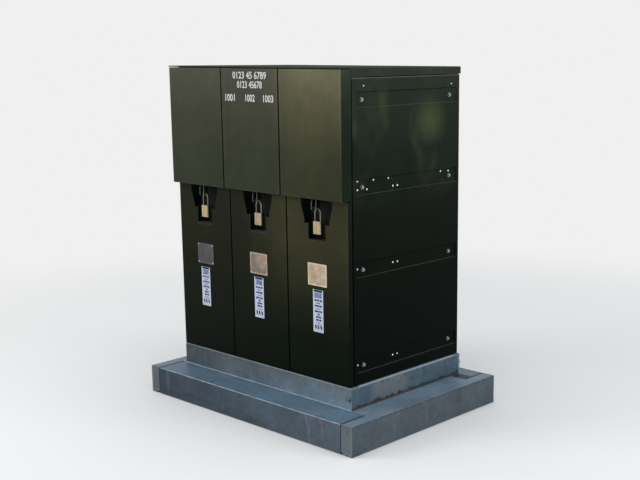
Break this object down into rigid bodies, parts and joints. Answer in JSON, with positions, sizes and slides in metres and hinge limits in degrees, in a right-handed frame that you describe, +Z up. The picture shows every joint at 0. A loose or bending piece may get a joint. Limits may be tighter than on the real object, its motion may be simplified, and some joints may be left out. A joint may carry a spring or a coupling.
{
  "type": "ring main unit",
  "caption": "Outdoor ring main unit: sheet steel cabinet with lift-up doors, padlocked cable covers, gas tank switchgear and a galvanised plinth.",
  "frame": {"origin": "on the ground under the middle of the plinth", "axes": "+Z up, front faces -Y, +X to the right seen from the front"},
  "size_m": [1.319, 0.94, 1.529],
  "materials": {
    "door_paint": "satin powder coat",
    "cover_paint": "satin powder coat",
    "panel_paint": "satin powder coat",
    "frame_paint": "satin powder coat",
    "plinth_zinc": "hot dip galvanised",
    "inner_zinc": "hot dip galvanised",
    "bolt_steel": "bright plated steel",
    "padlock_brass": "machined brass, weathered",
    "shackle_steel": "bright plated steel",
    "fascia_enamel": "light grey enamel",
    "spindle_steel": "bright plated steel",
    "selector_paint": "red enamel",
    "close_plastic": "moulded green",
    "trip_plastic": "moulded red",
    "indicator_plastic": "moulded",
    "gauge_steel": "stainless, brushed",
    "pointer_paint": "black",
    "tank_steel": "stainless, brushed",
    "copper": "bare copper",
    "rotor_resin": "cast resin",
    "bushing_resin": "cast resin"
  },
  "bodies": {
    "cabinet": {"cable_cover_1": "cover_paint", "cable_cover_2": "cover_paint", "cable_cover_3": "cover_paint", "lock_pocket_1": "cover_paint", "lock_pocket_2": "cover_paint", "lock_pocket_3": "cover_paint", "end_panel_left": "panel_paint", "end_panel_right": "panel_paint", "back_panel": "panel_paint", "roof": "panel_paint", "front_post_left": "frame_paint", "front_post_right": "frame_paint", "rear_post_left": "frame_paint", "rear_post_right": "frame_paint", "mid_posts": "frame_paint", "front_sill": "frame_paint", "cross_rail": "frame_paint", "hinge_rail": "frame_paint", "side_rails": "frame_paint", "way_dividers": "frame_paint", "plinth_front": "plinth_zinc", "plinth_rear": "plinth_zinc", "plinth_left": "plinth_zinc", "plinth_right": "plinth_zinc", "clamp_rail": "inner_zinc", "gland_plate": "inner_zinc", "plinth_bolts": "bolt_steel", "panel_bolts": "bolt_steel", "hinge_pins": "bolt_steel", "mechanism_fascia": "fascia_enamel", "drive_boxes": "fascia_enamel", "voltage_indicators": "indicator_plastic", "gauge_case": "gauge_steel", "gas_tank": "tank_steel", "busbars": "copper", "cable_contacts": "copper", "earth_contacts": "copper", "earth_bar": "copper", "cable_bushings": "bushing_resin"},
    "door_1": {"upper_door_1": "door_paint"},
    "shackle_1": {"padlock_shackle_1": "shackle_steel"},
    "padlock_1": {"padlock_body_1": "padlock_brass"},
    "switch_1": {"switch_spindle_1": "spindle_steel", "switch_rotor_1": "rotor_resin"},
    "lever_1": {"selector_1": "selector_paint"},
    "door_2": {"upper_door_2": "door_paint"},
    "shackle_2": {"padlock_shackle_2": "shackle_steel"},
    "padlock_2": {"padlock_body_2": "padlock_brass"},
    "switch_2": {"switch_spindle_2": "spindle_steel", "switch_rotor_2": "rotor_resin"},
    "lever_2": {"selector_2": "selector_paint"},
    "door_3": {"upper_door_3": "door_paint"},
    "shackle_3": {"padlock_shackle_3": "shackle_steel"},
    "padlock_3": {"padlock_body_3": "padlock_brass"},
    "switch_3": {"switch_spindle_3": "spindle_steel", "switch_rotor_3": "rotor_resin"},
    "lever_3": {"selector_3": "selector_paint"},
    "close_push": {"close_button": "close_plastic"},
    "trip_push": {"trip_button": "trip_plastic"},
    "pointer": {"gauge_pointer": "pointer_paint"}
  },
  "joints": [
    {"name": "door_1_hinge", "type": "hinge", "parent": "cabinet", "child": "door_1", "pos_m": [-0.3945, -0.352, 1.51], "axis": [-1, 0, 0], "range_deg": [0, 90]},
    {"name": "shackle_1_swing", "type": "hinge", "parent": "door_1", "child": "shackle_1", "pos_m": [-0.3945, -0.319, 0.9542], "axis": [1, 0, 0], "range_deg": [-60, 10]},
    {"name": "padlock_1_release", "type": "slide", "parent": "shackle_1", "child": "padlock_1", "axis": [0, 0, -1], "range_m": [0, 0.01]},
    {"name": "switch_1_turn", "type": "hinge", "parent": "cabinet", "child": "switch_1", "pos_m": [-0.3945, -0.2667, 1.225], "axis": [0, 1, 0], "range_deg": [0, 90]},
    {"name": "selector_1_turn", "type": "hinge", "parent": "cabinet", "child": "lever_1", "pos_m": [-0.3245, -0.2667, 1.225], "axis": [0, 1, 0], "range_deg": [0, 90]},
    {"name": "door_2_hinge", "type": "hinge", "parent": "cabinet", "child": "door_2", "pos_m": [-0.0305, -0.352, 1.51], "axis": [-1, 0, 0], "range_deg": [0, 90]},
    {"name": "shackle_2_swing", "type": "hinge", "parent": "door_2", "child": "shackle_2", "pos_m": [-0.0305, -0.319, 0.9542], "axis": [1, 0, 0], "range_deg": [-60, 10]},
    {"name": "padlock_2_release", "type": "slide", "parent": "shackle_2", "child": "padlock_2", "axis": [0, 0, -1], "range_m": [0, 0.01]},
    {"name": "switch_2_turn", "type": "hinge", "parent": "cabinet", "child": "switch_2", "pos_m": [-0.0305, -0.2667, 1.225], "axis": [0, 1, 0], "range_deg": [0, 90]},
    {"name": "selector_2_turn", "type": "hinge", "parent": "cabinet", "child": "lever_2", "pos_m": [0.0395, -0.2667, 1.225], "axis": [0, 1, 0], "range_deg": [0, 90]},
    {"name": "door_3_hinge", "type": "hinge", "parent": "cabinet", "child": "door_3", "pos_m": [0.3335, -0.352, 1.51], "axis": [-1, 0, 0], "range_deg": [0, 90]},
    {"name": "shackle_3_swing", "type": "hinge", "parent": "door_3", "child": "shackle_3", "pos_m": [0.3335, -0.319, 0.9542], "axis": [1, 0, 0], "range_deg": [-60, 10]},
    {"name": "padlock_3_release", "type": "slide", "parent": "shackle_3", "child": "padlock_3", "axis": [0, 0, -1], "range_m": [0, 0.01]},
    {"name": "switch_3_turn", "type": "hinge", "parent": "cabinet", "child": "switch_3", "pos_m": [0.3335, -0.2667, 1.225], "axis": [0, 1, 0], "range_deg": [0, 90]},
    {"name": "selector_3_turn", "type": "hinge", "parent": "cabinet", "child": "lever_3", "pos_m": [0.4035, -0.2667, 1.225], "axis": [0, 1, 0], "range_deg": [0, 90]},
    {"name": "close_press", "type": "slide", "parent": "cabinet", "child": "close_push", "axis": [0, 1, 0], "range_m": [0, 0.006], "stiffness_N_per_m": 400, "springref_m": -0.004},
    {"name": "trip_press", "type": "slide", "parent": "cabinet", "child": "trip_push", "axis": [0, 1, 0], "range_m": [0, 0.006], "stiffness_N_per_m": 400, "springref_m": -0.004},
    {"name": "pointer_turn", "type": "hinge", "parent": "cabinet", "child": "pointer", "pos_m": [-0.3945, -0.2667, 1.405], "axis": [0, 1, 0], "range_deg": [-120, 120]}
  ]
}
